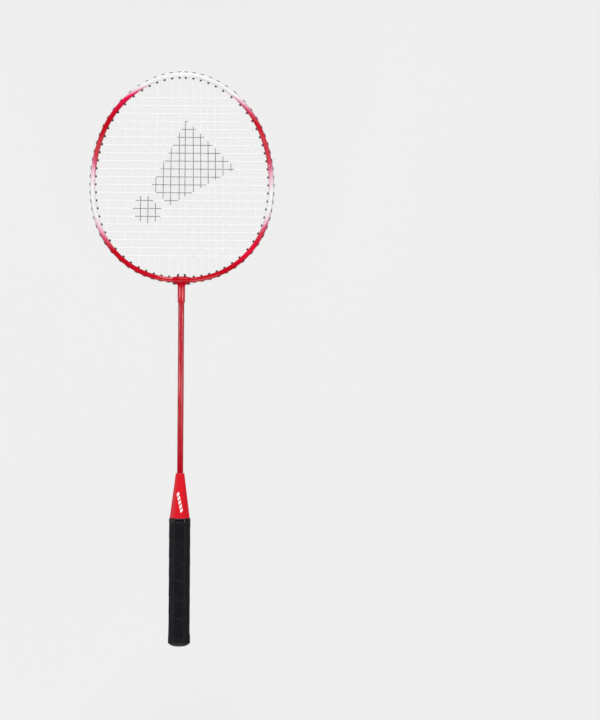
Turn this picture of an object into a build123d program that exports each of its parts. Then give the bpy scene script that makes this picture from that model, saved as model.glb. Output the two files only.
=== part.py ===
from build123d import *
import os
from math import asin, cos, degrees, pi, radians, sin, sqrt, tan

# Badminton racket lying flat: X runs across, Y from the butt to the head's tip, Z square to the string bed.
# The origin is the middle of the butt's flat end. Sizes are in millimetres, angles in degrees.

# Overall
LENGTH = 660.0

# Head frame. Its centreline is an oval of tangent arcs, listed from the tip round to the throat.
# A last arc, centred on the racket's axis, closes it.
RIM_WIDTH = 5.7
RIM_DEPTH = 8.6
RIM_WALL = 1.0
RIM_ARC_RADII = (81.6, 110.1, 159.3, 95.0)
RIM_ARC_TURNS = (23.3, 43.9, 35.4, 66.9)
GROOVE_WIDTH = 3.6
GROOVE_DEPTH = 0.9
BUTT_JOINT_GAP = 0.3

# String holes. Spacings are measured along a ring this far inside the centreline.
HOLE_RING = 3.2
HOLE_DIAMETER = 2.7
MAINS_PER_SIDE = 10
TOP_HOLES = 6
TOP_FIRST_X = 3.6
TOP_PITCH = 8.65
BOTTOM_HOLES = 6
BOTTOM_FIRST_X = 14.2
BOTTOM_PITCH = 8.8
CROSSES = 21
CROSS_FIRST_Y = 632.05
CROSS_PITCH = 9.235

# Side holes, counted from the top one as zero: those that also take the last mains' lower ends, the one that
# the outermost main passes by, and the one where both ends of the main string are tied off
LAST_MAIN_ROWS = (20, 19, 17)
SKIPPED_ROW = 18
MAIN_TIE_ROW = 4

# Grommets
BARREL_DIAMETER = 2.6
BARREL_BORE = 2.0
BARREL_TIP = 1.55
FLANGE_WIDTH = 3.4
FLANGE_LENGTH = 4.0
FLANGE_ROUNDING = 0.9
FLANGE_THICKNESS = 0.7
LIP_HEIGHT = 0.9
LIP_GAP = 1.95
TIP_ROUNDING = 0.2

# The two long grommets that slant through the throat, each from its tip to its outer end
THROAT_TIP = (3.3, 427.8)
THROAT_EXIT = (8.4, 415.9)
THROAT_BARREL_DIAMETER = 2.3
THROAT_BORE = 1.8
THROAT_HOLE_DIAMETER = 2.4
THROAT_FLANGE_DIAMETER = 3.4
THROAT_FLANGE_LENGTH = 3.2

# Strings
STRING_DIAMETER = 0.8
BORE_HEIGHT = 0.45
WEAVE_HEIGHT = 0.43
WEAVE_RADIUS = 4.0
TIP_RADIUS = 1.2
TIP_REACH = 0.8
LOOP_RADIUS = 0.8
LOOP_CLEARANCE = 0.12
CROSSING_MARGIN = 1.0

# Knots: each is two turns round a neighbouring string, this far from its grommet's tip.
KNOT_DISTANCE = 1.7
KNOT_PITCH = 0.7
KNOT_RADIUS = 0.86
KNOT_TAIL = 1.8
KNOT_CLEARANCE = 0.02

# T-joint. Its saddle closes round the rim, thicker in the middle than at its ends.
# Walls are given as (above the rim, below it, in front of and behind it).
SADDLE_HALF_WIDTH = 10.4
SADDLE_MIDDLE_WALLS = (1.7, 0.6, 1.3)
SADDLE_END_WALLS = (0.5, 0.4, 0.6)
SADDLE_ROUNDING = 0.3
STEM_DIAMETER = 8.7
STEM_LIP_DIAMETER = 7.6
STEM_START_Y = 394.6
STEM_TAPER = 2.5
GUSSET_START_Y = 414.6
GUSSET_HALF_WIDTH = 8.3
GUSSET_HALF_DEPTH = 4.9
CHANNEL_START_X = 5.1

# Shaft
SHAFT_DIAMETER = 7.0
SHAFT_WALL = 0.8
SHAFT_START_Y = 78.0
SHAFT_END_Y = 412.0
BORE_CLEARANCE = 0.05

# Handle. Its section is an octagon, wider across X than deep along Z.
FRONT_FACET = 12.0
DEPTH_DIFFERENCE = 2.5
BUTT_WIDTH = 25.5
GRIP_WIDTH = 24.3
CAP_HEIGHT = 5.0
FLARE_END_Y = 11.0
BODY_START_Y = 16.5
GRIP_END_Y = 147.5
GRIP_THICKNESS = 1.6
GRIP_ROUNDING = 2.0
CORE_ROUNDING = 0.4
SPIGOT_DIAMETER = 8.0
SPIGOT_LENGTH = 10.0
SPIGOT_BORE_END_Y = 16.0

# The butt's end is turned. Its profile is arcs between these points, each (radius, distance from the end).
END_FLAT = (5.0, 0.0)
END_DOME = (7.6, 0.45)
END_SHOULDER = (9.8, 1.45)
END_CORNER = (12.2, 3.2)
END_SIDE = (13.8, 6.0)

# Finishing band, which squeezes the grip's top end narrower
BAND_START_Y = 142.4
BAND_THICKNESS = 0.35
GRIP_END_WIDTH = 23.8

# Cone. Its two end sections are given as (width, depth, bevel).
CONE_END_Y = 199.1
CONE_BOTTOM = (23.0, 20.5, 5.6)
CONE_TOP = (9.8, 9.2, 2.2)
CONE_WALL = 2.0
CONE_CAVITY_END_Y = 186.0
CONE_RIDGE_ROUNDING = 0.9
CONE_END_ROUNDING = 0.5
NOSE_END_Y = 165.0


# The rim's centreline

def outward(heading):
    """Direction out of the oval, in the XY plane, at a heading from the tip."""
    return Vector(sin(radians(heading)), cos(radians(heading)), 0)


def rim_arcs():
    """Right half of the centreline: (centre, radius, first heading, last heading) of each arc."""
    arcs = []
    point = Vector(0, LENGTH - RIM_WIDTH / 2, 0)
    heading = 0.0
    for radius, turn in zip(RIM_ARC_RADII, RIM_ARC_TURNS):
        centre = point - outward(heading) * radius
        arcs.append((centre, radius, heading, heading + turn))
        heading += turn
        point = centre + outward(heading) * radius
    radius = point.X / sin(radians(heading))
    arcs.append((point - outward(heading) * radius, radius, heading, 180.0))
    return arcs


ARCS = rim_arcs()
THROAT_CENTRE, THROAT_RADIUS, _, _ = ARCS[-1]
RIM_BOTTOM_Y = THROAT_CENTRE.Y - THROAT_RADIUS


def rim_point(heading, offset, side=1, height=0.0):
    """Point at an offset outside the centreline. side is 1 on the right and -1 on the left."""
    for centre, radius, first, last in ARCS:
        if heading <= last:
            break
    point = centre + outward(heading) * (radius + offset)
    return Vector(side * point.X, point.Y, height)


def heading_where(measure, goal, low, high):
    """Heading between low and high at which measure reaches goal."""
    rising = measure(high) > measure(low)
    for _ in range(50):
        middle = (low + high) / 2
        if (measure(middle) < goal) == rising:
            low = middle
        else:
            high = middle
    return low


def hole_x(heading):
    return rim_point(heading, -HOLE_RING).X


def hole_y(heading):
    return rim_point(heading, -HOLE_RING).Y


TOP = [heading_where(hole_x, TOP_FIRST_X + n * TOP_PITCH, 0, 60) for n in range(TOP_HOLES)]
BOTTOM = [heading_where(hole_x, BOTTOM_FIRST_X + n * BOTTOM_PITCH, 120, 180) for n in range(BOTTOM_HOLES)]
SIDE = [heading_where(hole_y, CROSS_FIRST_Y - n * CROSS_PITCH, 20, 160) for n in range(CROSSES)]

# Frame holes that each main uses, counted from the middle. The first one ends in the throat.
MAIN_TOPS = TOP + SIDE[:MAINS_PER_SIDE - TOP_HOLES]
MAIN_BOTTOMS = [None] + BOTTOM + [SIDE[row] for row in LAST_MAIN_ROWS]
SKIPPED_HOLE = SIDE[SKIPPED_ROW]

THROAT_LINE = Vector(*THROAT_EXIT, 0) - Vector(*THROAT_TIP, 0)
THROAT_LENGTH = THROAT_LINE.length
THROAT_AXIS = THROAT_LINE.normalized()


# Head frame

def section_plane(heading, centre, radius):
    """Plane across the rim: local X points out of the oval, local Y along Z."""
    along = Vector(cos(radians(heading)), -sin(radians(heading)), 0)
    return Plane(origin=centre + outward(heading) * radius, x_dir=outward(heading), z_dir=along)


def along_arc(section, centre, radius, first, last):
    """The section carried along one arc of the rim."""
    axis = Axis(centre, (0, 0, -1))
    face = section_plane(first, centre, radius) * section
    return revolve(face, axis=axis, revolution_arc=last - first)


def throat_angle(x):
    """Angle along the throat's arc from the racket's axis out to an X."""
    return degrees(asin(x / THROAT_RADIUS))


def around_throat(section, half_width):
    """The section carried along the throat's arc, as far to each side of the axis."""
    half_angle = throat_angle(half_width)
    return along_arc(section, THROAT_CENTRE, THROAT_RADIUS, 180 - half_angle, 180 + half_angle)


def rim_outline():
    return SlotOverall(RIM_DEPTH, RIM_WIDTH, rotation=90)


def groove_outline():
    length = 2 * RIM_WIDTH
    floor = RIM_WIDTH / 2 - GROOVE_DEPTH
    return Pos(floor + length / 2, 0) * Rectangle(length, GROOVE_WIDTH)


def cavity_outline():
    width = RIM_WIDTH - 2 * RIM_WALL - GROOVE_DEPTH
    return Pos(-GROOVE_DEPTH / 2, 0) * SlotOverall(RIM_DEPTH - 2 * RIM_WALL, width, rotation=90)


def hole_cutter(heading, side):
    """Cylinder through the rim along one string hole."""
    plane = Plane(rim_point(heading, 0, side), z_dir=outward(side * heading))
    return plane * Cylinder(HOLE_DIAMETER / 2, 2 * RIM_WIDTH)


def throat_plane(side, station):
    """Plane across a throat hole, a distance along it from its inner tip."""
    origin = Vector(*THROAT_TIP, 0) + THROAT_AXIS * station
    return Plane((side * origin.X, origin.Y, 0), z_dir=(side * THROAT_AXIS.X, THROAT_AXIS.Y, 0))


def throat_cutters():
    """Cylinders along both slanting throat holes."""
    return [throat_plane(side, 0) * Cylinder(THROAT_HOLE_DIAMETER / 2, 3 * THROAT_LENGTH) for side in (-1, 1)]


def head_frame():
    section = rim_outline() - groove_outline() - cavity_outline()
    centre, radius, _, last = ARCS[0]
    frame = along_arc(section, centre, radius, -last, last)
    for centre, radius, first, last in ARCS[1:]:
        arc = along_arc(section, centre, radius, first, last)
        frame += arc + mirror(arc, about=Plane.YZ)
    frame -= Pos(0, RIM_BOTTOM_Y, 0) * Box(BUTT_JOINT_GAP, 2 * RIM_WIDTH, 2 * RIM_DEPTH)
    cutters = [hole_cutter(heading, side) for heading in TOP + SIDE + BOTTOM for side in (-1, 1)]
    return frame - cutters - throat_cutters()


def frame_plug():
    """Block inside the two ends of the rim, where they meet in the throat."""
    return around_throat(cavity_outline(), SADDLE_HALF_WIDTH) - throat_cutters()


# T-joint

def across(y):
    """Plane across the racket at a distance from the butt: local X is X, local Y is -Z."""
    return Plane(origin=(0, y, 0), x_dir=(1, 0, 0), z_dir=(0, 1, 0))


def rod(diameter, start, end):
    """Round bar along the racket's axis."""
    return extrude(across(start) * Circle(diameter / 2), end - start)


def string_channel(side):
    """Groove through the saddle's lower wall, beside the stem."""
    first = 180 - throat_angle(2 * SADDLE_HALF_WIDTH)
    last = 180 - throat_angle(CHANNEL_START_X)
    channel = along_arc(groove_outline(), THROAT_CENTRE, THROAT_RADIUS, first, last)
    return channel if side > 0 else mirror(channel, about=Plane.YZ)


def saddle_section(x, walls):
    """Section of the saddle at a distance across the racket, with its walls round the rim."""
    above, below, beside = walls
    rim_y = THROAT_CENTRE.Y - sqrt(THROAT_RADIUS ** 2 - x ** 2)
    plane = Plane(origin=(x, rim_y + (above - below) / 2, 0), x_dir=(0, 0, 1), z_dir=(1, 0, 0))
    return plane * SlotOverall(RIM_DEPTH + 2 * beside, RIM_WIDTH + above + below)


def saddle():
    body = loft([
        saddle_section(-SADDLE_HALF_WIDTH, SADDLE_END_WALLS),
        saddle_section(0, SADDLE_MIDDLE_WALLS),
        saddle_section(SADDLE_HALF_WIDTH, SADDLE_END_WALLS),
    ])
    faces = body.faces().sort_by(Axis.X)
    return fillet(faces[0].edges() + faces[-1].edges(), SADDLE_ROUNDING)


def t_joint():
    taper_end = STEM_START_Y + STEM_TAPER
    lip = loft([
        across(STEM_START_Y) * Circle(STEM_LIP_DIAMETER / 2),
        across(taper_end) * Circle(STEM_DIAMETER / 2),
    ])
    stem = rod(STEM_DIAMETER, taper_end, RIM_BOTTOM_Y)
    gusset = loft([
        across(GUSSET_START_Y) * Circle(STEM_DIAMETER / 2),
        across(RIM_BOTTOM_Y - RIM_WIDTH / 2) * Ellipse(GUSSET_HALF_WIDTH, GUSSET_HALF_DEPTH),
    ])

    body = saddle() + lip + stem + gusset
    body -= around_throat(rim_outline() - groove_outline(), 2 * SADDLE_HALF_WIDTH)
    body -= rod(SHAFT_DIAMETER + 2 * BORE_CLEARANCE, STEM_START_Y, SHAFT_END_Y)
    body -= [string_channel(side) for side in (-1, 1)]
    return body - throat_cutters()


# Shaft

def shaft():
    tube = rod(SHAFT_DIAMETER, SHAFT_START_Y, SHAFT_END_Y)
    return tube - rod(SHAFT_DIAMETER - 2 * SHAFT_WALL, SHAFT_START_Y, SHAFT_END_Y)


# Handle

def octagon(y, width, depth, bevel, rounding=0.0):
    """Eight-sided section across the handle, with bevels at 45 degrees."""
    right = width / 2
    top = depth / 2
    quarter = [(right, top - bevel), (right - bevel, top)]
    half = quarter + [(-x, z) for x, z in reversed(quarter)]
    face = make_face(Polyline(*half, *[(-x, -z) for x, z in half], close=True))
    if rounding:
        face = fillet(face.vertices(), rounding)
    return across(y) * face


def grip_section(y, width, inset=0.0, rounding=GRIP_ROUNDING):
    """Section of the grip, or of what lies an inset under its surface."""
    bevel = (width - FRONT_FACET) / 2 - (2 - sqrt(2)) * inset
    depth = width - DEPTH_DIFFERENCE
    return octagon(y, width - 2 * inset, depth - 2 * inset, bevel, rounding)


def grip_volume(inset, rounding):
    """Whole solid of the handle, as far as an inset under the grip's surface."""
    stations = (
        (CAP_HEIGHT, BUTT_WIDTH),
        (FLARE_END_Y, BUTT_WIDTH),
        (BODY_START_Y, GRIP_WIDTH),
        (BAND_START_Y, GRIP_WIDTH),
        (GRIP_END_Y, GRIP_END_WIDTH),
    )
    return loft([grip_section(y, width, inset, rounding) for y, width in stations], ruled=True)


def cone_volume(inset, end, rounding=0.0):
    """Tapering solid of the cone from its base to an end, as far as an inset under its surface."""
    share = (end - GRIP_END_Y) / (CONE_END_Y - GRIP_END_Y)
    last = [low + share * (high - low) for low, high in zip(CONE_BOTTOM, CONE_TOP)]
    sections = []
    for y, (width, depth, bevel) in ((GRIP_END_Y, CONE_BOTTOM), (end, last)):
        inner_bevel = bevel - (2 - sqrt(2)) * inset
        sections.append(octagon(y, width - 2 * inset, depth - 2 * inset, inner_bevel, rounding))
    return loft(sections, ruled=True)


def handle_core():
    core = grip_volume(GRIP_THICKNESS, CORE_ROUNDING) + cone_volume(CONE_WALL, NOSE_END_Y)
    core -= rod(SHAFT_DIAMETER + 2 * BORE_CLEARANCE, SHAFT_START_Y, NOSE_END_Y)
    return core - rod(SPIGOT_DIAMETER + 2 * BORE_CLEARANCE, CAP_HEIGHT, SPIGOT_BORE_END_Y)


def grip_wrap():
    return turned_end() & (grip_volume(0, GRIP_ROUNDING) - grip_volume(GRIP_THICKNESS, CORE_ROUNDING))


def band_volume(inset):
    """Whole solid of the grip's top end, as far as an inset under its surface."""
    first = grip_section(BAND_START_Y, GRIP_WIDTH, inset)
    return loft([first, grip_section(GRIP_END_Y, GRIP_END_WIDTH, inset)], ruled=True)


def finishing_band():
    return band_volume(-BAND_THICKNESS) - band_volume(0)


def turned_end():
    """Space that the butt's rounded end is cut to, domed round a flat middle and straight past its corner."""
    top = GRIP_END_Y
    profile = make_face([
        Line((0, 0), END_FLAT),
        ThreePointArc(END_FLAT, END_DOME, END_SHOULDER),
        ThreePointArc(END_SHOULDER, END_CORNER, END_SIDE),
        Line(END_SIDE, (END_SIDE[0], top)),
        Line((END_SIDE[0], top), (0, top)),
        Line((0, top), (0, 0)),
    ])
    return revolve(profile, axis=Axis.Y)


def butt_cap():
    """End cap with a spigot in the core."""
    cap = extrude(grip_section(0, BUTT_WIDTH), CAP_HEIGHT) & turned_end()
    return cap + rod(SPIGOT_DIAMETER, CAP_HEIGHT / 2, CAP_HEIGHT + SPIGOT_LENGTH)


def cone():
    shell = cone_volume(0, CONE_END_Y, CONE_RIDGE_ROUNDING)
    top_edges = shell.faces().sort_by(Axis.Y)[-1].edges()
    shell = fillet(top_edges, CONE_END_ROUNDING)
    shell -= cone_volume(CONE_WALL, CONE_CAVITY_END_Y)
    return shell - rod(SHAFT_DIAMETER + 2 * BORE_CLEARANCE, GRIP_END_Y, CONE_END_Y)


# Grommets

def grommet():
    """Grommet along local Z, with the rim's centreline at zero. Its flange lies in the groove, with a lip on
    each side of the string."""
    floor = RIM_WIDTH / 2 - GROOVE_DEPTH
    tip = -(RIM_WIDTH / 2 + BARREL_TIP)
    barrel = extrude(Plane.XY.offset(tip) * Circle(BARREL_DIAMETER / 2), floor - tip)
    barrel = fillet(barrel.edges().sort_by(Axis.Z)[0], TIP_ROUNDING)
    outline = RectangleRounded(FLANGE_WIDTH, FLANGE_LENGTH, FLANGE_ROUNDING)
    flange = extrude(Plane.XY.offset(floor) * outline, FLANGE_THICKNESS + LIP_HEIGHT)
    gap = Plane.XY.offset(floor + FLANGE_THICKNESS) * Rectangle(LIP_GAP, 2 * FLANGE_LENGTH)
    flange -= extrude(gap, 2 * LIP_HEIGHT)
    return barrel + flange - Cylinder(BARREL_BORE / 2, 4 * RIM_WIDTH)


def grommet_group(headings, sides):
    """Separate grommets, one in each hole."""
    template = grommet()
    placed = []
    for side in sides:
        for heading in headings:
            direction = outward(side * heading)
            plane = Plane(rim_point(heading, 0, side), x_dir=(0, 0, 1), z_dir=direction)
            placed.append(plane * template)
    return Compound(children=placed)


def throat_grommet(side):
    """Long grommet that slants through the T-joint and the rim, with a flange cut to lie in the groove."""
    barrel = extrude(throat_plane(side, 0) * Circle(THROAT_BARREL_DIAMETER / 2), THROAT_LENGTH)
    flange_start = throat_plane(side, THROAT_LENGTH - THROAT_FLANGE_LENGTH)
    flange = extrude(flange_start * Circle(THROAT_FLANGE_DIAMETER / 2), THROAT_FLANGE_LENGTH)
    flange -= around_throat(rim_outline() - groove_outline(), 2 * SADDLE_HALF_WIDTH)
    return barrel + flange - throat_plane(side, 0) * Cylinder(THROAT_BORE / 2, 3 * THROAT_LENGTH)


# Strings

def outer_point(heading, side, height):
    """Corner where a string leaves a hole and turns along the groove."""
    flange_top = RIM_WIDTH / 2 - GROOVE_DEPTH + FLANGE_THICKNESS
    return rim_point(heading, flange_top + LOOP_CLEARANCE + STRING_DIAMETER / 2, side, height)


def tip_point(heading, side, height):
    """Corner where a string leaves a grommet's tip and turns along the bed."""
    return rim_point(heading, -(RIM_WIDTH / 2 + BARREL_TIP + TIP_REACH), side, height)


def throat_point(side, height, station):
    origin = throat_plane(side, station).origin
    return Vector(origin.X, origin.Y, height)


def main_ends(number, side):
    """Corners at a main's upper and lower tips, in the bed."""
    upper = tip_point(MAIN_TOPS[number - 1], side, BORE_HEIGHT)
    if number == 1:
        return upper, throat_point(side, BORE_HEIGHT, -TIP_REACH / 2)
    return upper, tip_point(MAIN_BOTTOMS[number - 1], side, BORE_HEIGHT)


def crossing(number, side, row, lift):
    """Point of a main at a cross, or of the cross where lift is -1. They weave over and under each other."""
    upper, lower = main_ends(number, side)
    y = tip_point(SIDE[row], side, 0).Y
    share = (upper.Y - y) / (upper.Y - lower.Y)
    column = MAINS_PER_SIDE - number if side < 0 else MAINS_PER_SIDE - 1 + number
    over = 1 if (column + row) % 2 == 0 else -1
    return Vector(upper.X + share * (lower.X - upper.X), y, lift * over * WEAVE_HEIGHT)


def meets(number, side, row):
    """Whether a main and a cross pass each other inside the bed."""
    upper, lower = main_ends(number, side)
    y = tip_point(SIDE[row], side, 0).Y
    return lower.Y + CROSSING_MARGIN < y < upper.Y - CROSSING_MARGIN


def main_run(number, side):
    """Corners of one main from its upper hole to its lower hole, with their radii."""
    upper, lower = main_ends(number, side)
    rows = [row for row in range(CROSSES) if meets(number, side, row)]
    if number == 1:
        exit_point = throat_point(side, BORE_HEIGHT, THROAT_LENGTH + LOOP_CLEARANCE + STRING_DIAMETER / 2)
    else:
        exit_point = outer_point(MAIN_BOTTOMS[number - 1], side, BORE_HEIGHT)
    run = [(outer_point(MAIN_TOPS[number - 1], side, BORE_HEIGHT), LOOP_RADIUS), (upper, TIP_RADIUS)]
    run += [(crossing(number, side, row, 1), WEAVE_RADIUS) for row in rows]
    return run + [(lower, TIP_RADIUS), (exit_point, LOOP_RADIUS)]


def cross_run(row):
    """Corners of one cross from its left hole to its right hole, with their radii."""
    columns = [(number, -1) for number in range(MAINS_PER_SIDE, 0, -1)]
    columns += [(number, 1) for number in range(1, MAINS_PER_SIDE + 1)]
    heading = SIDE[row]
    run = [
        (outer_point(heading, -1, -BORE_HEIGHT), LOOP_RADIUS),
        (tip_point(heading, -1, -BORE_HEIGHT), TIP_RADIUS),
    ]
    for number, side in columns:
        if meets(number, side, row):
            run.append((crossing(number, side, row, -1), WEAVE_RADIUS))
    return run + [
        (tip_point(heading, 1, -BORE_HEIGHT), TIP_RADIUS),
        (outer_point(heading, 1, -BORE_HEIGHT), LOOP_RADIUS),
    ]


def tie_offs():
    """Each tie-off: the hole where a string's end comes back in, its side, the end's height, and the next
    corner of the string that the knot is tied to."""
    tie_hole = SIDE[MAIN_TIE_ROW]
    last_row = CROSSES - 1
    main_left = (tie_hole, -1, BORE_HEIGHT, crossing(MAINS_PER_SIDE, -1, MAIN_TIE_ROW, -1))
    main_right = (tie_hole, 1, BORE_HEIGHT, crossing(MAINS_PER_SIDE, 1, MAIN_TIE_ROW, -1))
    cross_start = (TOP[-1], -1, -BORE_HEIGHT, crossing(TOP_HOLES, -1, 0, 1))
    cross_end = (BOTTOM[-1], 1, -BORE_HEIGHT, crossing(BOTTOM_HOLES + 1, 1, last_row, 1))
    return main_left, main_right, cross_start, cross_end


def knot_frame(tie_off):
    """Where the anchor string starts, its direction, and the direction from it to the tied end."""
    heading, side, height, target = tie_off
    start = tip_point(heading, side, -height)
    along = (target - start).normalized()
    up = Vector(0, 0, 1 if height > 0 else -1)
    return start, along, (up - along * up.dot(along)).normalized()


def tied_end(tie_off):
    """Corners of a string's end, from its knot out to the groove."""
    heading, side, height, _ = tie_off
    start, along, up = knot_frame(tie_off)
    reach = KNOT_DISTANCE - STRING_DIAMETER / 2 - KNOT_CLEARANCE
    end = start + along * reach + up * KNOT_RADIUS
    inner = tip_point(heading, side, height)
    outer = outer_point(heading, side, height)
    return [(end, 0), (inner, TIP_RADIUS / 2), (outer, LOOP_RADIUS)]


def knot(tie_off):
    """Two turns round the anchor string, with a cut tail."""
    start, along, up = knot_frame(tie_off)
    turn = Torus(KNOT_RADIUS, STRING_DIAMETER / 2)
    first = start + along * KNOT_DISTANCE
    last = first + along * KNOT_PITCH
    tail = extrude(Plane(last + up * KNOT_RADIUS, z_dir=up) * Circle(STRING_DIAMETER / 2), KNOT_TAIL)
    return Plane(first, z_dir=along) * turn + Plane(last, z_dir=along) * turn + tail


def main_route():
    """Corners of the main string: from the left tie-off, up and down every main, to the right one."""
    left_tie, right_tie, _, _ = tie_offs()
    route = tied_end(left_tie)
    for number in range(MAINS_PER_SIDE, 0, -1):
        run = main_run(number, -1)
        route += run if number % 2 == 0 else run[::-1]
        if number == MAINS_PER_SIDE:
            route.append((outer_point(SKIPPED_HOLE, -1, BORE_HEIGHT), WEAVE_RADIUS))
    for number in range(1, MAINS_PER_SIDE + 1):
        run = main_run(number, 1)
        if number == MAINS_PER_SIDE:
            route.append((outer_point(SKIPPED_HOLE, 1, BORE_HEIGHT), WEAVE_RADIUS))
        route += run if number % 2 == 1 else run[::-1]
    return route + tied_end(right_tie)[::-1]


def cross_route():
    """Corners of the cross string: from its tie-off at the top left, side to side, down to the last one."""
    _, _, start_tie, end_tie = tie_offs()
    route = tied_end(start_tie)
    for row in range(CROSSES):
        run = cross_run(row)
        route += run if row % 2 == 0 else run[::-1]
    return route + tied_end(end_tie)[::-1]


def rounded_path(route):
    """Straight runs through the corners, joined by tangent arcs."""
    edges = []
    start = route[0][0]
    for (before, _), (corner, radius), (after, _) in zip(route, route[1:], route[2:]):
        back = (before - corner).normalized()
        ahead = (after - corner).normalized()
        half_turn = (pi - radians(back.get_angle(ahead))) / 2
        if half_turn < 0.001:
            continue
        reach = radius * tan(half_turn)
        middle = corner + (back + ahead).normalized() * (radius / cos(half_turn) - radius)
        edges.append(Edge.make_line(start, corner + back * reach))
        edges.append(Edge.make_three_point_arc(corner + back * reach, middle, corner + ahead * reach))
        start = corner + ahead * reach
    edges.append(Edge.make_line(start, route[-1][0]))
    return Wire(edges)


def string(route, name):
    """The whole string, swept in one piece along its route."""
    path = rounded_path(route)
    solid = sweep(Plane(path @ 0, z_dir=path % 0) * Circle(STRING_DIAMETER / 2), path=path)
    expected = pi * STRING_DIAMETER ** 2 / 4 * path.length
    print(f"{name}: length {path.length:.1f}, volume {solid.volume:.1f}, expected volume {expected:.1f}")
    return solid


NODES = {
    "head_frame": head_frame,
    "frame_plug": frame_plug,
    "t_joint": t_joint,
    "shaft": shaft,
    "cone": cone,
    "handle_core": handle_core,
    "grip_wrap": grip_wrap,
    "finishing_band": finishing_band,
    "butt_cap": butt_cap,
    "grommets_top": lambda: grommet_group(TOP, (-1, 1)),
    "grommets_left": lambda: grommet_group(SIDE, (-1,)),
    "grommets_right": lambda: grommet_group(SIDE, (1,)),
    "grommets_bottom": lambda: grommet_group(BOTTOM, (-1, 1)),
    "throat_grommets": lambda: Compound(children=[throat_grommet(side) for side in (-1, 1)]),
    "main_string": lambda: string(main_route(), "main string"),
    "cross_string": lambda: string(cross_route(), "cross string"),
    "knots": lambda: Compound(children=[knot(tie_off) for tie_off in tie_offs()]),
}

os.makedirs("parts", exist_ok=True)
for node, build in NODES.items():
    export_step(build(), f"parts/{node}.step")
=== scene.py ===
from math import atan2, cos, pi, radians, sin, sqrt

import bpy
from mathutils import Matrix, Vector, noise


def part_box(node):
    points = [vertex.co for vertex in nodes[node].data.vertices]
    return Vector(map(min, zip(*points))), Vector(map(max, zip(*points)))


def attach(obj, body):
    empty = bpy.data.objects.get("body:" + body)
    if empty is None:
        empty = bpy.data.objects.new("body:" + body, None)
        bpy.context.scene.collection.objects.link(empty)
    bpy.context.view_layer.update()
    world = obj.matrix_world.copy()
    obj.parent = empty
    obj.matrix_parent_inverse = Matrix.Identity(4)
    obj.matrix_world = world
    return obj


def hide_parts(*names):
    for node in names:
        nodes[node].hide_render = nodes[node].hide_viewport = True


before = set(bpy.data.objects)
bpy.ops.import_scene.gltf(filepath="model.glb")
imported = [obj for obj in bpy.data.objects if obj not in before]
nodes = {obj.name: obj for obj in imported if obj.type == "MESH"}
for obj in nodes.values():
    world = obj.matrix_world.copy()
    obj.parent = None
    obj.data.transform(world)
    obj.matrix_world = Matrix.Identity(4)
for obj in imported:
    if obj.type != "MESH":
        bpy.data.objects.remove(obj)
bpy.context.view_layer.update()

# Badminton racket, in metres, in the CAD model's frame: X across, Y from the butt to the head's tip,
# Z square to the string bed.

scene = bpy.context.scene
MM = 0.001


# Places that come from the CAD nodes

rim_low, rim_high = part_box("head_frame")
HEAD_CENTRE_Y = (rim_low.y + rim_high.y) / 2
grip_low, grip_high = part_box("grip_wrap")
band_low, band_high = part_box("finishing_band")
cone_low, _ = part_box("cone")


# Node graphs

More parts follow.
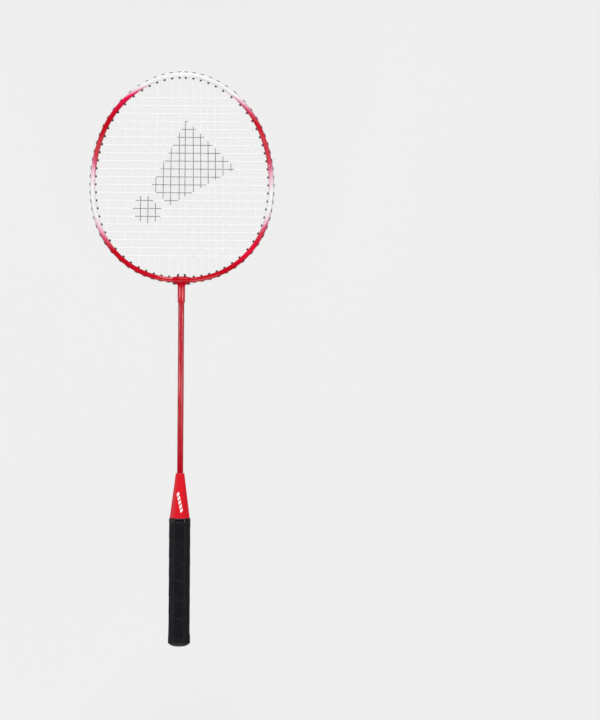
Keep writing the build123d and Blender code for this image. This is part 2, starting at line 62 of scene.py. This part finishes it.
class Graph:
    """A material's node graph. Each method adds a node and gives back its main output."""

    def __init__(self, name):
        self.material = bpy.data.materials.new(name)
        self.material.use_nodes = True
        self.tree = self.material.node_tree
        self.tree.nodes.clear()
        self.shader = self.add("ShaderNodeBsdfPrincipled")
        output = self.add("ShaderNodeOutputMaterial")
        self.link(self.shader.outputs["BSDF"], output.inputs["Surface"])
        self.place = self.add("ShaderNodeTexCoord").outputs["Object"]

    def add(self, kind, **settings):
        node = self.tree.nodes.new(kind)
        for key, value in settings.items():
            setattr(node, key, value)
        return node

    def link(self, source, target):
        if isinstance(source, bpy.types.NodeSocket):
            self.tree.links.new(source, target)
        else:
            target.default_value = source

    def set(self, **sockets):
        """Sets the shader's sockets, by name with _ for a space, to a value or another node's output."""
        for name, value in sockets.items():
            self.link(value, self.shader.inputs[name.replace("_", " ")])

    def math(self, operation, *values):
        node = self.add("ShaderNodeMath", operation=operation)
        for value, target in zip(values, node.inputs):
            self.link(value, target)
        return node.outputs[0]

    def vector(self, operation, *values):
        node = self.add("ShaderNodeVectorMath", operation=operation)
        for value, target in zip(values, node.inputs):
            self.link(value, target)
        return node.outputs["Value" if operation == "DOT_PRODUCT" else "Vector"]

    def split(self, source):
        node = self.add("ShaderNodeSeparateXYZ")
        self.link(source, node.inputs[0])
        return node.outputs

    def span(self, value, low, high, first=0.0, last=1.0, smooth=True):
        """Value turned from first, at low, to last, at high, and held outside."""
        node = self.add("ShaderNodeMapRange", interpolation_type="SMOOTHSTEP" if smooth else "LINEAR")
        sockets = ("Value", "From Min", "From Max", "To Min", "To Max")
        for name, given in zip(sockets, (value, low, high, first, last)):
            self.link(given, node.inputs[name])
        return node.outputs[0]

    def noise(self, scale, detail=2.0, roughness=0.5, stretch=None, seed=0.0):
        """Noise from 0 to 1 with that many waves a metre."""
        node = self.add("ShaderNodeTexNoise", noise_dimensions="4D")
        source = self.place
        if stretch:
            source = self.vector("MULTIPLY", source, stretch)
        self.link(source, node.inputs["Vector"])
        for name, value in (("W", seed), ("Scale", scale), ("Detail", detail), ("Roughness", roughness)):
            node.inputs[name].default_value = value
        return node.outputs[0]

    def cells(self, scale, randomness):
        """Distance to the nearest of that many cell centres a metre."""
        node = self.add("ShaderNodeTexVoronoi", feature="F1")
        self.link(self.place, node.inputs["Vector"])
        node.inputs["Scale"].default_value = scale
        node.inputs["Randomness"].default_value = randomness
        return node.outputs["Distance"]

    def grey(self, value):
        node = self.add("ShaderNodeCombineColor")
        for target in node.inputs:
            self.link(value, target)
        return node.outputs[0]

    def mix(self, share, first, second, blend="MIX"):
        node = self.add("ShaderNodeMix", data_type="RGBA", blend_type=blend)
        self.link(share, node.inputs[0])
        self.link(colour(first), node.inputs[6])
        self.link(colour(second), node.inputs[7])
        return node.outputs[2]

    def ramp(self, share, stops):
        node = self.add("ShaderNodeValToRGB")
        self.link(share, node.inputs[0])
        marks = node.color_ramp.elements
        while len(marks) < len(stops):
            marks.new(0.5)
        for mark, (position, given) in zip(marks, stops):
            mark.position = position
            mark.color = colour(given)
        return node.outputs[0]

    def bump(self, height, distance, strength):
        """Normal from a height of 0 to 1, where 1 stands that distance proud."""
        node = self.add("ShaderNodeBump")
        node.inputs["Strength"].default_value = strength
        node.inputs["Distance"].default_value = distance
        self.link(height, node.inputs["Height"])
        return node.outputs[0]


def colour(given):
    """Linear colour with its alpha, or a node's output as it is."""
    if isinstance(given, bpy.types.NodeSocket):
        return given
    return (*given, 1.0)


# Paints and plastics

WHITE_PAINT = (0.72, 0.72, 0.73)
PALE_PINK = (0.70, 0.44, 0.55)
HOT_PINK = (0.68, 0.009, 0.080)
RED_PAINT = (0.44, 0.0016, 0.011)
CRIMSON = (0.58, 0.004, 0.032)
ROSE = (0.56, 0.09, 0.17)
# The paler red below is a painted highlight along the rim's sides, and a step between rose and red in the
# lower fades.
HIGHLIGHT_AND_FADE_RED = (0.50, 0.040, 0.055)
BRIGHT_RED = (0.64, 0.004, 0.028)
JOINT_RED = (0.42, 0.0013, 0.010)
# The shaft's red below is a darker copy of the red paint: painted shade over the whole shaft.
SHADED_SHAFT_RED = (0.36, 0.0011, 0.010)

# The rim's colours by heading, in degrees round from the tip. The paler red from about 64 to 78 degrees is a
# painted highlight.
LEFT_FADES = (
    (22, WHITE_PAINT), (28, PALE_PINK), (33, HOT_PINK), (42, CRIMSON), (50, RED_PAINT), (60, RED_PAINT),
    (69, HIGHLIGHT_AND_FADE_RED), (76, HIGHLIGHT_AND_FADE_RED), (81, ROSE), (87, PALE_PINK), (98, WHITE_PAINT),
    (113, WHITE_PAINT), (121, PALE_PINK), (128, ROSE), (132, HIGHLIGHT_AND_FADE_RED), (137, RED_PAINT),
)
RIGHT_FADES = (
    (31, WHITE_PAINT), (37, PALE_PINK), (44, ROSE), (49, HIGHLIGHT_AND_FADE_RED), (56, RED_PAINT),
    (64, HIGHLIGHT_AND_FADE_RED), (78, HIGHLIGHT_AND_FADE_RED), (83, ROSE), (91, PALE_PINK), (99, WHITE_PAINT),
    (111, WHITE_PAINT), (117, PALE_PINK), (121, ROSE), (125, HIGHLIGHT_AND_FADE_RED), (131, CRIMSON),
    (138, BRIGHT_RED), (150, RED_PAINT),
)


def gloss_paint(graph, base, coat=0.10, specular=0.20):
    """Sprayed lacquer: a little uneven in colour and gloss, with faint orange peel under a clear coat."""
    cloud = graph.noise(60.0, detail=3.0, seed=1.0)
    grain = graph.noise(2600.0, detail=2.0, seed=2.0)
    shade = graph.span(cloud, 0.3, 0.7, 0.93, 1.0)
    graph.set(
        Base_Color=graph.mix(1.0, base, graph.grey(shade), "MULTIPLY"),
        Roughness=graph.span(grain, 0.2, 0.8, 0.08, 0.13),
        Normal=graph.bump(graph.noise(500.0, detail=1.0, seed=3.0), 0.000002, 0.5),
    )
    graph.set(Coat_Weight=coat, Coat_Roughness=0.06, Specular_IOR_Level=specular)


HALF_TURN = 180.0

# Each fade slants across the tube. These degrees are added to the heading on the tube's outside and taken
# off on its inside: the first of them up to the first of the two headings, the second from the other one on.
FADE_SLANTS = (-6.0, 3.5)
SLANT_HEADINGS = (60.0, 75.0)

# The most that the spray mist shifts a fade, in degrees, and how far each side of the middle the two
# sides' colours are mixed
MIST = 1.3
SIDE_BLEND = 20.0 * MM


def rim_paint():
    """White round the tip and at the head's sides, sprayed over into red between them and below, with a
    painted highlight of paler red in the red along the sides.
    """
    graph = Graph("rim_paint")
    geometry = graph.add("ShaderNodeNewGeometry")
    spot = graph.vector("SUBTRACT", graph.place, (0.0, HEAD_CENTRE_Y, 0.0))
    x, y, _ = graph.split(spot)
    heading = graph.math("MULTIPLY", graph.math("ARCTAN2", graph.math("ABSOLUTE", x), y), HALF_TURN / pi)
    flat_spot = graph.vector("MULTIPLY", spot, (1.0, 1.0, 0.0))
    out = graph.vector("NORMALIZE", flat_spot)
    side = graph.vector("DOT_PRODUCT", geometry.outputs["Normal"], out)
    slant = graph.span(heading, *SLANT_HEADINGS, *FADE_SLANTS)
    mist = graph.span(graph.noise(900.0, detail=3.0, roughness=0.7), 0.25, 0.75, -MIST, MIST)
    heading = graph.math("ADD", heading, graph.math("MULTIPLY", slant, side))
    turn = graph.math("DIVIDE", graph.math("ADD", heading, mist), HALF_TURN)
    left, right = (
        graph.ramp(turn, [(angle / HALF_TURN, given) for angle, given in fades])
        for fades in (LEFT_FADES, RIGHT_FADES)
    )
    base = graph.mix(graph.span(x, -SIDE_BLEND, SIDE_BLEND), left, right)
    gloss_paint(graph, base)
    return graph.material


# Heights between which the gloss changes
JOINT_GLOSS_Y = (405.0 * MM, 415.0 * MM)
SHAFT_GLOSS_Y = (200.0 * MM, 300.0 * MM)


def joint_paint():
    """Red, glossy down the stem and duller round the rim."""
    graph = Graph("joint_paint")
    y = graph.split(graph.place)[1]
    gloss_paint(
        graph, JOINT_RED,
        coat=graph.span(y, *JOINT_GLOSS_Y, 0.31, 0.03),
        specular=0.09,
    )
    return graph.material


def shaft_paint():
    """Red painted darker than the rim as painted shade, glossy under the T-joint and rubbed duller towards
    the cone.
    """
    graph = Graph("shaft_paint")
    y = graph.split(graph.place)[1]
    gloss_paint(
        graph, SHADED_SHAFT_RED,
        coat=graph.span(y, *SHAFT_GLOSS_Y, 0.0, 0.24),
        specular=0.045,
    )
    return graph.material


# The row of dashes printed on the cone. The row leans across the facet, and each dash leans more.
# FRONT_NORMAL is the least Z of a normal that counts as the front facet's.
ROW_START_Y = cone_low.y + 7.5 * MM
ROW_LENGTH = 23.0 * MM
ROW_HALF_WIDTH = 1.6 * MM
ROW_LEAN = 0.22
DASH_PITCH = 4.6 * MM
DASH_SHARE = 0.68
DASH_LEAN = 0.9
FRONT_NORMAL = 0.8


def dash_row(graph):
    """Share of white print on the cone: slanted dashes in a row that leans across the front facet."""
    geometry = graph.add("ShaderNodeNewGeometry")
    x, y, _ = graph.split(graph.place)
    up = graph.split(geometry.outputs["Normal"])[2]
    facing = graph.math("GREATER_THAN", up, FRONT_NORMAL)
    middle = ROW_START_Y + ROW_LENGTH / 2
    lean = graph.math("MULTIPLY", graph.math("SUBTRACT", y, middle), ROW_LEAN)
    aside = graph.math("ADD", x, lean)
    along = graph.math("SUBTRACT", y, graph.math("MULTIPLY", aside, DASH_LEAN))
    dashes = graph.math("DIVIDE", graph.math("SUBTRACT", along, ROW_START_Y), DASH_PITCH)
    turn = graph.math("FRACT", dashes)
    after = graph.math("GREATER_THAN", along, ROW_START_Y)
    before = graph.math("LESS_THAN", along, ROW_START_Y + ROW_LENGTH)
    near = graph.math("LESS_THAN", graph.math("ABSOLUTE", aside), ROW_HALF_WIDTH)
    share = graph.math("LESS_THAN", turn, DASH_SHARE)
    for limit in (after, before, near, facing):
        share = graph.math("MULTIPLY", share, limit)
    return share


def cone_plastic():
    """Glossy red plastic, with a row of slanted white dashes printed up its front."""
    graph = Graph("cone_plastic")
    cloud = graph.noise(90.0, detail=2.0, seed=4.0)
    base = graph.mix(graph.span(cloud, 0.3, 0.7), (0.53, 0.007, 0.015), (0.58, 0.009, 0.018))
    graph.set(
        Base_Color=graph.mix(dash_row(graph), base, (0.74, 0.74, 0.75)),
        Roughness=graph.span(graph.noise(3000.0, detail=2.0, seed=5.0), 0.2, 0.8, 0.10, 0.15),
        Normal=graph.bump(graph.noise(1800.0, detail=2.0, seed=6.0), 0.000004, 0.5),
    )
    graph.set(Specular_IOR_Level=0.40)
    return graph.material


def grip_leather():
    """Black synthetic leather with a fine pebbled grain, a little uneven in tone."""
    graph = Graph("grip")
    pebbles = graph.cells(1500.0, randomness=0.9)
    fine = graph.noise(5200.0, detail=3.0, roughness=0.6, seed=7.0)
    cloud = graph.noise(120.0, detail=3.0, seed=8.0)
    dark = graph.mix(graph.span(cloud, 0.3, 0.75), (0.0044, 0.0042, 0.0062), (0.0068, 0.0065, 0.0090))
    height = graph.math("ADD", graph.math("MULTIPLY", pebbles, 0.7), graph.math("MULTIPLY", fine, 0.3))
    graph.set(
        Base_Color=dark,
        Roughness=graph.span(fine, 0.25, 0.75, 0.34, 0.44),
        Normal=graph.bump(height, 0.00006, 0.5),
    )
    graph.set(Specular_IOR_Level=0.14)
    return graph.material


def band_vinyl():
    """Glossy black tape, stretched round the top of the grip, with fine creases along it and painted shade
    down in them.
    """
    graph = Graph("band")
    creases = graph.noise(420.0, detail=3.0, roughness=0.55, stretch=(0.35, 2.2, 0.35), seed=9.0)
    fine = graph.noise(3000.0, detail=2.0, seed=10.0)
    # The colour is darker where the creases dip: painted shade in the creases.
    shade = graph.span(creases, 0.3, 0.7)
    graph.set(
        Base_Color=graph.mix(shade, (0.0016, 0.0016, 0.0020), (0.0030, 0.0030, 0.0034)),
        Roughness=graph.span(fine, 0.2, 0.8, 0.12, 0.18),
        Normal=graph.bump(creases, 0.00003, 0.5),
    )
    graph.set(Specular_IOR_Level=0.45)
    return graph.material


def black_moulding(name, dark, low, high, scale=2400.0):
    """Black moulded nylon or rubber with a spark-eroded texture."""
    graph = Graph(name)
    pits = graph.noise(scale, detail=3.0, roughness=0.6, seed=11.0)
    cloud = graph.noise(200.0, detail=2.0, seed=12.0)
    light = tuple(1.7 * part for part in dark)
    graph.set(
        Base_Color=graph.mix(graph.span(cloud, 0.3, 0.7), dark, light),
        Roughness=graph.span(pits, 0.25, 0.75, low, high),
        Normal=graph.bump(pits, 0.00004, 0.5),
    )
    graph.set(Specular_IOR_Level=0.25)
    return graph.material


# The wood's rings, in radians: how they turn with each metre across it, and how far they wave
RING_TURNS = 2200.0
RING_WAVE = 26.0
WOOD_TONES = ((0.15, (0.44, 0.27, 0.13)), (0.5, (0.62, 0.43, 0.24)), (0.85, (0.70, 0.52, 0.32)))


def core_wood():
    """Pale turned wood with its grain along the handle."""
    graph = Graph("handle_wood")
    x = graph.split(graph.place)[0]
    wave = graph.noise(55.0, detail=3.0, stretch=(1.0, 0.06, 1.0), seed=13.0)
    straight = graph.math("MULTIPLY", x, RING_TURNS)
    waved = graph.math("ADD", straight, graph.math("MULTIPLY", wave, RING_WAVE))
    rings = graph.math("SINE", waved)
    pores = graph.noise(2400.0, detail=3.0, stretch=(1.0, 0.05, 1.0), seed=14.0)
    grain = graph.math("ADD", graph.span(rings, -1.0, 1.0, 0.0, 0.6), graph.math("MULTIPLY", pores, 0.4))
    graph.set(
        Base_Color=graph.ramp(grain, WOOD_TONES),
        Roughness=graph.span(pores, 0.3, 0.7, 0.55, 0.75),
        Normal=graph.bump(pores, 0.00006, 0.6),
    )
    graph.set(Specular_IOR_Level=0.35)
    return graph.material


# The stencilled shuttlecock: where its axis passes, how far that leans from X, and the sizes of skirt and
# cork along the axis from there, with the cork at the negative end
PICTOGRAM_X = -10.0 * MM
PICTOGRAM_Y = HEAD_CENTRE_Y - 6.0 * MM
PICTOGRAM_LEAN = radians(46.0)
SKIRT_START = -22.0 * MM
SKIRT_END = 62.0 * MM
SKIRT_HALF_WIDTHS = (15.0 * MM, 40.0 * MM)
CORK_CENTRE = -42.0 * MM
CORK_RADIUS = 17.0 * MM
CORK_END = -31.0 * MM


def pictogram(graph):
    """Share of stencil ink over the string bed: a plain shuttlecock, its cork low on the left."""
    spot = graph.vector("SUBTRACT", graph.place, (PICTOGRAM_X, PICTOGRAM_Y, 0.0))
    x, y, _ = graph.split(spot)
    run, rise = cos(PICTOGRAM_LEAN), sin(PICTOGRAM_LEAN)
    along = graph.math("ADD", graph.math("MULTIPLY", x, run), graph.math("MULTIPLY", y, rise))
    across = graph.math("SUBTRACT", graph.math("MULTIPLY", y, run), graph.math("MULTIPLY", x, rise))
    width = graph.math("ABSOLUTE", across)
    # Feathers: a skirt that widens away from the cork
    edge = graph.span(along, SKIRT_START, SKIRT_END, *SKIRT_HALF_WIDTHS, smooth=False)
    skirt = graph.math("LESS_THAN", width, edge)
    skirt = graph.math("MULTIPLY", skirt, graph.math("GREATER_THAN", along, SKIRT_START))
    skirt = graph.math("MULTIPLY", skirt, graph.math("LESS_THAN", along, SKIRT_END))
    # Cork: a round end, with a gap between it and the skirt
    back = graph.math("SUBTRACT", along, CORK_CENTRE)
    square = graph.math("ADD", graph.math("MULTIPLY", back, back), graph.math("MULTIPLY", width, width))
    cork = graph.math("LESS_THAN", graph.math("SQRT", square), CORK_RADIUS)
    cork = graph.math("MULTIPLY", cork, graph.math("LESS_THAN", along, CORK_END))
    return graph.math("MAXIMUM", skirt, cork)


def string_nylon():
    """White nylon, with worn black stencil ink where the pictogram lies."""
    graph = Graph("string")
    streaks = graph.noise(700.0, detail=4.0, roughness=0.7, seed=15.0)
    wear = graph.span(streaks, 0.30, 0.62, 0.45, 1.0)
    ink = graph.math("MULTIPLY", pictogram(graph), wear)
    cloud = graph.noise(150.0, detail=2.0, seed=16.0)
    ripple = graph.noise(2500.0, detail=2.0, stretch=(1.0, 1.0, 3.0), seed=17.0)
    nylon = graph.mix(graph.span(cloud, 0.3, 0.7), (0.74, 0.74, 0.75), (0.80, 0.80, 0.80))
    graph.set(
        Base_Color=graph.mix(ink, nylon, (0.012, 0.013, 0.016)),
        Roughness=graph.span(streaks, 0.2, 0.8, 0.25, 0.4),
        Normal=graph.bump(ripple, 0.00003, 0.4),
    )
    graph.set(Specular_IOR_Level=0.22)
    return graph.material


finishes = {
    "rim_paint": rim_paint(),
    "joint_paint": joint_paint(),
    "shaft_paint": shaft_paint(),
    "cone_plastic": cone_plastic(),
    "plug_plastic": black_moulding("plug_plastic", (0.03, 0.03, 0.032), 0.4, 0.55),
    "handle_wood": core_wood(),
    "grip": grip_leather(),
    "band": band_vinyl(),
    "cap": black_moulding("cap", (0.0055, 0.0055, 0.0065), 0.5, 0.65, scale=1800.0),
    "grommet_nylon": black_moulding("grommet_nylon", (0.005, 0.005, 0.006), 0.35, 0.5),
    "string": string_nylon(),
}
for node in nodes.values():
    for place in node.material_slots:
        place.material = finishes[place.material.name.split(".")[0]]


# The grip and its finishing band: octagons with rounded corners

FRONT_FACET = 12.0 * MM
DEPTH_DIFFERENCE = 2.5 * MM
BODY_WIDTH = 24.3 * MM
BUTT_WIDTH = 25.4 * MM
TOP_WIDTH = 23.8 * MM
FLARE_START_Y = 9.0 * MM
FLARE_END_Y = 17.5 * MM
CORNER_RADIUS = 2.0 * MM
ROUND_COUNT = 288
TAPE_PITCH = 22.0 * MM
TAPE_STEP = 0.16 * MM
TAPE_EDGE = 1.0 * MM
TAPE_WALL = 1.5 * MM
BAND_WALL = 0.3 * MM

# The tape's winding: the share of a turn over which its step falls away again, the crease at its edge, how
# far up from the butt the steps become full, how far it lies under the handle's outline, and its unevenness
TAPE_FALL = 0.85
CREASE_WIDTH = 0.5 * MM
CREASE_DEPTH = 0.06 * MM
WINDING_START = 6.0 * MM
TAPE_SINK = 0.12 * MM
TAPE_SOFTNESS = 0.05 * MM
SOFTNESS_SCALE = 140.0

# The tape's ends and rings
TAPE_TOP_GAP = 0.04 * MM
TAPE_END_RADIUS = 0.5 * MM
END_RING_COUNT = 5
OUTER_RING_STEP = 0.4 * MM
INNER_RING_STEP = 5.0 * MM

# The band's rows, its height over the handle's outline and the wrinkles in it, in mm
BAND_ROW_COUNT = 30
BAND_INNER_SHARES = (1.0, 0.75, 0.5, 0.25, 0.0)
BAND_RISE = 0.31
PUCKER_RISE = 0.035
GATHER_RISE = 0.07
ROLL_RISE = 0.05
FOLD_DEPTH = 0.11

# The band's uneven edges, in mm: how far each is set in. On the front and back facets both edges are lower.
TOP_SET_IN = 0.35
TOP_FRONT = 0.45
TOP_RIPPLE = 0.20
TOP_TUCK = 0.35
BOTTOM_SET_IN = 0.35
BOTTOM_FRONT = 0.25
BOTTOM_RIPPLE = 0.40
FRONT_FACING = 0.80
FRONT_EASE = 0.15

# Where the band's wrinkles lie, as shares of the way up it, how far each reaches, and their waves a metre
GATHER_START = 0.75
GATHER_REACH = 0.2
FOLD_PLACE = 0.20
FOLD_REACH = 0.10
TOP_ROLL_PLACE = 0.93
TOP_ROLL_REACH = 0.12
LOW_ROLL_PLACE = 0.08
LOW_ROLL_REACH = 0.09
LOW_ROLL_SHARE = 0.4
EDGE_REACH = 0.05
RIPPLE_SCALE = 150.0
TUCK_SCALE = 900.0
PUCKER_ROUND = 420.0
PUCKER_ALONG = 130.0


def smooth(value):
    """Value held between 0 and 1 and eased at both ends."""
    value = min(1.0, max(0.0, value))
    return value * value * (3 - 2 * value)


def grip_width(y):
    """Width of the handle across X at a height up it."""
    flare = 1 - smooth((y - FLARE_START_Y) / (FLARE_END_Y - FLARE_START_Y))
    squeeze = max(0.0, (y - band_low.y) / (band_high.y - band_low.y))
    return BODY_WIDTH + (BUTT_WIDTH - BODY_WIDTH) * flare + (TOP_WIDTH - BODY_WIDTH) * squeeze


def rounded_octagon(width, count):
    """Evenly spaced points round the handle's section, from the top of its right facet, and the way out."""
    depth = width - DEPTH_DIFFERENCE
    bevel = (width - FRONT_FACET) / 2
    right, top = width / 2, depth / 2
    quarter = [(right, top - bevel), (right - bevel, top)]
    half = quarter + [(-x, z) for x, z in reversed(quarter)]
    corners = half + [(-x, -z) for x, z in half]
    # Each corner is an arc of an eighth turn between straight facets.
    cut = CORNER_RADIUS * (sqrt(2) - 1)
    pieces = []
    for number, (x, z) in enumerate(corners):
        before = Vector(corners[number - 1]) - Vector((x, z))
        after = Vector(corners[(number + 1) % 8]) - Vector((x, z))
        first = Vector((x, z)) + before.normalized() * cut
        last = Vector((x, z)) + after.normalized() * cut
        normal = Vector((before.y, -before.x)).normalized()
        if normal.dot(Vector((x, z))) < 0:
            normal = -normal
        middle = first - normal * CORNER_RADIUS
        pieces.append(("arc", first, middle, atan2(normal.y, normal.x)))
        facet = Vector(corners[(number + 1) % 8]) - after.normalized() * cut
        pieces.append(("flat", last, facet, None))
    lengths = [
        CORNER_RADIUS * pi / 4 if kind == "arc" else (other - start).length
        for kind, start, other, _ in pieces
    ]
    total = sum(lengths)
    found = []
    for step in range(count):
        left = total * step / count
        for (kind, start, other, angle), length in zip(pieces, lengths):
            if left <= length:
                break
            left -= length
        if kind == "arc":
            turned = angle + left / CORNER_RADIUS
            out = Vector((cos(turned), sin(turned)))
            found.append((other + out * CORNER_RADIUS, out))
        else:
            run = (other - start).normalized()
            out = Vector((run.y, -run.x))
            found.append((start + run * left, out))
    return found


def skin(name, rows):
    """Closed shell from rings of points, each joined to the next and the last to the first."""
    vertices = [point for row in rows for point in row]
    faces = []
    for ring in range(len(rows)):
        low = ring * ROUND_COUNT
        high = (ring + 1) % len(rows) * ROUND_COUNT
        for step in range(ROUND_COUNT):
            turn = (step + 1) % ROUND_COUNT
            faces.append((low + step, high + step, high + turn, low + turn))
    mesh = bpy.data.meshes.new(name)
    mesh.from_pydata(vertices, [], faces)
    mesh.validate()
    for face in mesh.polygons:
        face.use_smooth = True
    piece = bpy.data.objects.new(name, mesh)
    scene.collection.objects.link(piece)
    return piece


def spread(start, end, step):
    """Evenly spaced heights from start to end, about a step apart."""
    count = round((end - start) / step)
    return [start + (end - start) * number / count for number in range(count + 1)]


def taped_grip():
    """The wound tape: out over the surface from butt to top, and back inside."""
    start, end = grip_low.y, grip_high.y - TAPE_TOP_GAP
    rim = TAPE_END_RADIUS

    def seam(y, number):
        """Height of the winding: each turn laps over the one below, with a small crease at its edge."""
        turn = (y - start) / TAPE_PITCH - number / ROUND_COUNT
        place = turn % 1.0 * TAPE_PITCH
        climb = smooth(place / TAPE_EDGE)
        fall = 1 - smooth((place - TAPE_EDGE) / (TAPE_FALL * TAPE_PITCH))
        crease = 1 - smooth(min(place, TAPE_PITCH - place) / CREASE_WIDTH)
        wound = smooth((y - start) / WINDING_START)
        return (climb * fall * TAPE_STEP - CREASE_DEPTH * crease) * wound

    def ring(y, inset, taped):
        points = []
        for number, (spot, out) in enumerate(rounded_octagon(grip_width(y), ROUND_COUNT)):
            lift = -inset
            if taped:
                soft = noise.noise(Vector((spot.x, y, spot.y)) * SOFTNESS_SCALE)
                lift += seam(y, number) - TAPE_SINK + TAPE_SOFTNESS * soft
            points.append((spot.x + out.x * lift, y, spot.y + out.y * lift))
        return points

    turns = [pi / 2 * part / END_RING_COUNT for part in range(END_RING_COUNT)]
    rows = [ring(start + rim * (1 - cos(turn)), rim * (1 - sin(turn)), True) for turn in turns]
    rows += [ring(y, 0.0, True) for y in spread(start + rim, end - rim, OUTER_RING_STEP)]
    rows += [ring(end - rim * (1 - cos(turn)), rim * (1 - sin(turn)), True) for turn in reversed(turns)]
    rows += [ring(y, TAPE_WALL, False) for y in spread(end, start, INNER_RING_STEP)]
    return skin("grip_tape", rows)


def wrinkled_band():
    """The stretched tape over the grip's top end: puckered, with uneven edges and a fold low down."""
    low, high = band_low.y, band_high.y
    outlines = [rounded_octagon(width, ROUND_COUNT) for width in (BODY_WIDTH, TOP_WIDTH)]

    def place(number, share, wall):
        (spot, out), (last, _) = outlines[0][number], outlines[1][number]
        spot = spot.lerp(last, share)
        front = smooth((abs(out.y) - FRONT_FACING) / FRONT_EASE)
        ripple = noise.noise(Vector((spot.x * RIPPLE_SCALE, 0.0, spot.y * RIPPLE_SCALE)))
        tuck = noise.noise(Vector((spot.x * TUCK_SCALE, 3.0, spot.y * TUCK_SCALE)))
        top = high - (TOP_FRONT * front + TOP_SET_IN + TOP_RIPPLE * ripple + TOP_TUCK * tuck) * MM
        bottom = low - (BOTTOM_FRONT * front - BOTTOM_SET_IN + BOTTOM_RIPPLE * ripple) * MM
        y = bottom + (top - bottom) * share
        pucker = noise.noise(Vector((spot.x * PUCKER_ROUND, y * PUCKER_ALONG, spot.y * PUCKER_ROUND)))
        gather = tuck * smooth((share - GATHER_START) / GATHER_REACH)
        fold = smooth(1 - abs(share - FOLD_PLACE) / FOLD_REACH)
        top_roll = smooth(1 - abs(share - TOP_ROLL_PLACE) / TOP_ROLL_REACH)
        low_roll = smooth(1 - abs(share - LOW_ROLL_PLACE) / LOW_ROLL_REACH)
        roll = top_roll + LOW_ROLL_SHARE * low_roll
        edge = smooth(min(share, 1 - share) / EDGE_REACH)
        rise = BAND_RISE + PUCKER_RISE * pucker + GATHER_RISE * gather + ROLL_RISE * roll
        lift = (rise - FOLD_DEPTH * fold) * edge * MM
        if wall:
            lift = -BAND_WALL
        return (spot.x + out.x * lift, y, spot.y + out.y * lift)

    outer = [(number / BAND_ROW_COUNT, False) for number in range(BAND_ROW_COUNT + 1)]
    inner = [(share, True) for share in BAND_INNER_SHARES]
    rows = [[place(number, *row) for number in range(ROUND_COUNT)] for row in outer + inner]
    return skin("band_tape", rows)


for piece, node, slot in ((taped_grip(), "grip_wrap", "grip"), (wrinkled_band(), "finishing_band", "band")):
    piece.data.materials.append(finishes[slot])
    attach(piece, "root")
    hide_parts(node)


# Floor

FLOOR_SIZE = 60.0
FLOOR_PLACE = (0.0, 0.3, -0.60)
bpy.ops.mesh.primitive_plane_add(size=FLOOR_SIZE, location=FLOOR_PLACE)
floor = bpy.context.active_object
floor.name = "floor"
graph = Graph("floor_paper")
tone = graph.noise(1.5, detail=2.0, seed=18.0)
graph.set(
    Base_Color=graph.mix(graph.span(tone, 0.2, 0.8), (0.631, 0.627, 0.627), (0.639, 0.635, 0.635)),
    Roughness=0.9,
    Specular_IOR_Level=0.0,
)
floor.data.materials.append(graph.material)


# Light: a dim even room, with a soft lamp at a slant on each side for the long highlights

ROOM_COLOUR = (1.0, 1.0, 1.0)
ROOM_STRENGTH = 0.10
world = bpy.data.worlds.new("room")
world.use_nodes = True
world.node_tree.nodes["Background"].inputs["Color"].default_value = colour(ROOM_COLOUR)
world.node_tree.nodes["Background"].inputs["Strength"].default_value = ROOM_STRENGTH
scene.world = world


def lamp(name, azimuth, zenith, strength, width):
    """Soft lamp far away: azimuth from +X towards +Y, and its angle down from straight above."""
    light = bpy.data.lights.new(name, "SUN")
    light.energy = strength
    light.angle = radians(width)
    holder = bpy.data.objects.new(name, light)
    scene.collection.objects.link(holder)
    turn, down = radians(azimuth), radians(zenith)
    toward = Vector((cos(turn) * sin(down), sin(turn) * sin(down), cos(down)))
    holder.rotation_mode = "QUATERNION"
    holder.rotation_quaternion = toward.to_track_quat("Z", "Y")


# Name, azimuth and zenith angle in degrees, strength, and width in degrees
LAMPS = (
    ("head_softbox", 90.0, 58.0, 2.9, 16.0),
    ("butt_softbox", -90.0, 46.0, 2.14, 30.0),
    ("left_softbox", 180.0, 48.0, 0.66, 5.0),
    ("right_softbox", 0.0, 48.0, 0.75, 5.0),
)
for facts in LAMPS:
    lamp(*facts)


# Camera: straight above, turned a little, with PICTURE_HEIGHT of the string bed's plane filling its height

CAMERA_X = 0.137
CAMERA_Y = 0.330
CAMERA_HEIGHT = 3.0
CAMERA_TURN = 0.385
PICTURE_HEIGHT = 0.828
camera = bpy.data.objects.new("camera", bpy.data.cameras.new("camera"))
scene.collection.objects.link(camera)
camera.location = (CAMERA_X, CAMERA_Y, CAMERA_HEIGHT)
camera.rotation_euler = (0.0, 0.0, radians(CAMERA_TURN))
camera.data.sensor_width = 36.0
camera.data.lens = camera.data.sensor_width * CAMERA_HEIGHT / PICTURE_HEIGHT
camera.data.clip_start = 0.05
camera.data.clip_end = 100.0
scene.camera = camera
scene.view_settings.view_transform = "Standard"
